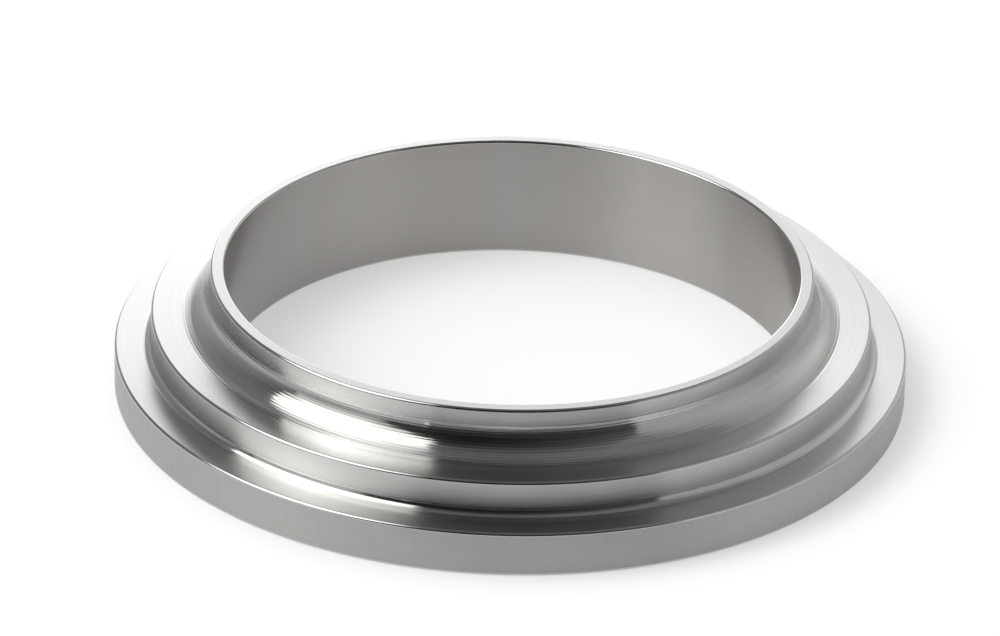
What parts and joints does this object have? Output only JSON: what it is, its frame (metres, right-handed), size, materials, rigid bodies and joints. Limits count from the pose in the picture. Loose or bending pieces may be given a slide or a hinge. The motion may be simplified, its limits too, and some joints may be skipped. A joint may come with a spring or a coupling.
{
  "type": "weld liner",
  "caption": "Turned ring with a stepped flange and a filleted thin neck: the neck is butt welded to a sanitary tube, and a union nut bears on the flange.",
  "frame": {"origin": "centre of the bore in the flat sealing face that the ring stands on", "axes": "+Z along the bore, from the sealing face to the weld neck"},
  "size_m": [0.0672, 0.0672, 0.0108],
  "materials": {
    "stainless_steel": "bright turned faces and fillets, satin rim edge and bore"
  },
  "bodies": {
    "root": {"weld_liner": "stainless_steel"}
  },
  "joints": []
}
